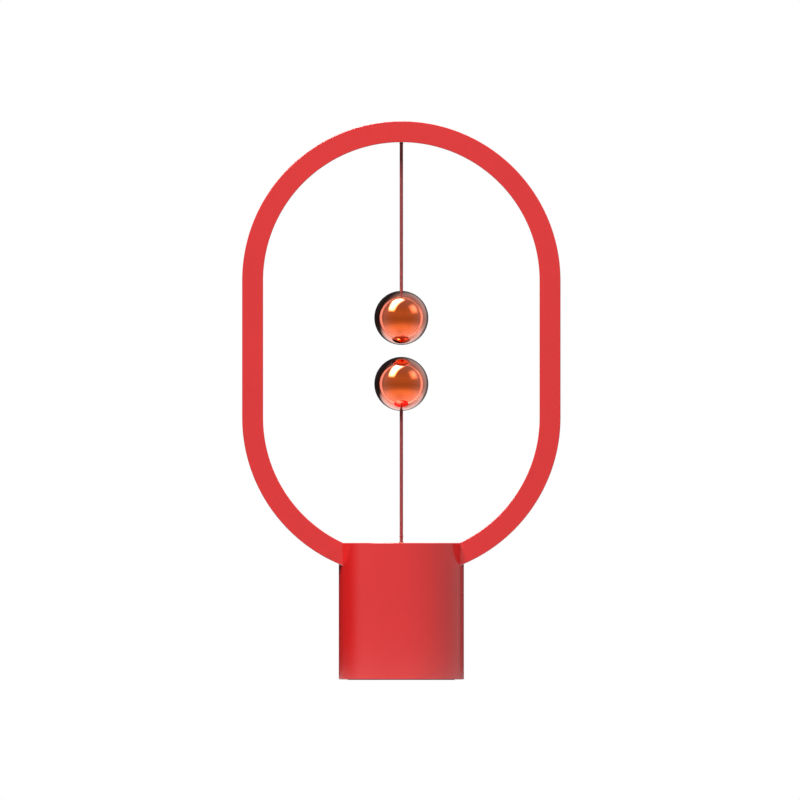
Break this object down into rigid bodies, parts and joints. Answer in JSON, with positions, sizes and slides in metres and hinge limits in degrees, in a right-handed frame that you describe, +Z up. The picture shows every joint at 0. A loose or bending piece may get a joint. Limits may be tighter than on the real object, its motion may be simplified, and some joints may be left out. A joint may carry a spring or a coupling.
{
  "type": "magnetic balance lamp",
  "caption": "Upright loop lamp in a round base; a ball on a cord hangs over a magnetically held ball whose pull works the switch.",
  "frame": {"origin": "on the table, at the middle of the foot", "axes": "+Z up, +X across the loop, -Y towards the front; the loop stands in the XZ plane"},
  "size_m": [0.1424, 0.056, 0.25],
  "materials": {
    "red_shell": "satin",
    "milk_diffuser": "matte",
    "copper_plate": "polished",
    "red_cord": "matte",
    "turned_brass": "satin",
    "zinc_screw": "satin",
    "spring_steel": "satin",
    "raw_steel": "satin",
    "magnet_nickel": "polished",
    "black_foam": "matte",
    "black_plastic": "matte",
    "natural_plastic": "satin",
    "board_green": "satin",
    "strip_white": "satin",
    "led_yellow": "satin",
    "wire_red": "satin",
    "ferrite_grey": "matte",
    "can_aluminium": "satin"
  },
  "bodies": {
    "stand": {"frame_front_shell": "red_shell", "frame_rear_shell": "red_shell", "base_body": "red_shell", "base_top_cap": "red_shell", "diffuser": "milk_diffuser", "upper_cord_tail": "red_cord", "cord_eyelet": "turned_brass", "upper_cord_crimp": "turned_brass", "cover_screws": "zinc_screw", "board_screws": "zinc_screw", "chassis_screws": "zinc_screw", "loop_screws": "zinc_screw", "micro_switch_screws": "zinc_screw", "return_spring": "spring_steel", "micro_switch_terminals": "spring_steel", "usb_socket_shell": "spring_steel", "counterweight": "raw_steel", "foot_pad": "black_foam", "bottom_cover": "black_plastic", "micro_switch_body": "black_plastic", "usb_socket_tongue": "black_plastic", "driver_chip": "black_plastic", "chassis": "natural_plastic", "upper_cord_anchor": "natural_plastic", "upper_cord_grommet": "natural_plastic", "wire_headers": "natural_plastic", "circuit_board": "board_green", "led_strip_left": "strip_white", "led_strip_right": "strip_white", "leds_left": "led_yellow", "leds_right": "led_yellow", "led_leads_left": "wire_red", "led_leads_right": "wire_red", "switch_leads": "wire_red", "driver_inductor": "ferrite_grey", "driver_capacitor": "can_aluminium"},
    "switch_slide": {"switch_slider": "natural_plastic", "slider_clip": "spring_steel", "lower_cord_tail": "red_cord", "lower_cord_crimp": "turned_brass"},
    "switch_lever": {"micro_switch_lever": "spring_steel"},
    "switch_button": {"micro_switch_button": "natural_plastic"},
    "lower_bend": {"lower_cord_bend": "red_cord"},
    "lower_ball": {"lower_cord": "red_cord", "lower_ball_top_shell": "copper_plate", "lower_ball_bottom_shell": "copper_plate", "lower_magnet": "magnet_nickel", "lower_magnet_holder": "natural_plastic", "lower_cord_stop": "turned_brass"},
    "upper_bend": {"upper_cord_bend": "red_cord"},
    "upper_ball": {"upper_cord": "red_cord", "upper_ball_top_shell": "copper_plate", "upper_ball_bottom_shell": "copper_plate", "upper_magnet": "magnet_nickel", "upper_magnet_holder": "natural_plastic", "upper_cord_stop": "turned_brass"}
  },
  "joints": [
    {"name": "lower_ball_pull", "type": "slide", "parent": "stand", "child": "switch_slide", "axis": [0, 0, 1], "range_m": [-0.002, 0], "stiffness_N_per_m": 100, "springref_m": 0.005, "deforming": ["return_spring"]},
    {"name": "lever_tilt", "type": "hinge", "parent": "stand", "child": "switch_lever", "pos_m": [0, 0.017, 0.0501], "axis": [1, 0, 0], "range_deg": [0, 9.6]},
    {"name": "button_press", "type": "slide", "parent": "stand", "child": "switch_button", "axis": [0, 0, -1], "range_m": [0, 0.00084]},
    {"name": "lower_lean_side", "type": "hinge", "parent": "switch_slide", "child": "lower_bend", "pos_m": [0, 0, 0.0643], "axis": [0, 1, 0], "range_deg": [-42, 42], "stiffness_Nm_per_rad": 0.035},
    {"name": "lower_lean_fore", "type": "hinge", "parent": "lower_bend", "child": "lower_ball", "pos_m": [0, 0, 0.0643], "axis": [1, 0, 0], "range_deg": [-70, 70], "stiffness_Nm_per_rad": 0.035},
    {"name": "upper_swing_side", "type": "hinge", "parent": "stand", "child": "upper_bend", "pos_m": [0, 0, 0.24], "axis": [0, 1, 0], "range_deg": [-38, 38]},
    {"name": "upper_swing_fore", "type": "hinge", "parent": "upper_bend", "child": "upper_ball", "pos_m": [0, 0, 0.24], "axis": [1, 0, 0], "range_deg": [-60, 60]}
  ],
  "couplings": [
    {"joint": "lever_tilt", "follows": "lower_ball_pull", "rad_per_m": -83.724},
    {"joint": "button_press", "follows": "lower_ball_pull", "ratio": -0.41667}
  ]
}
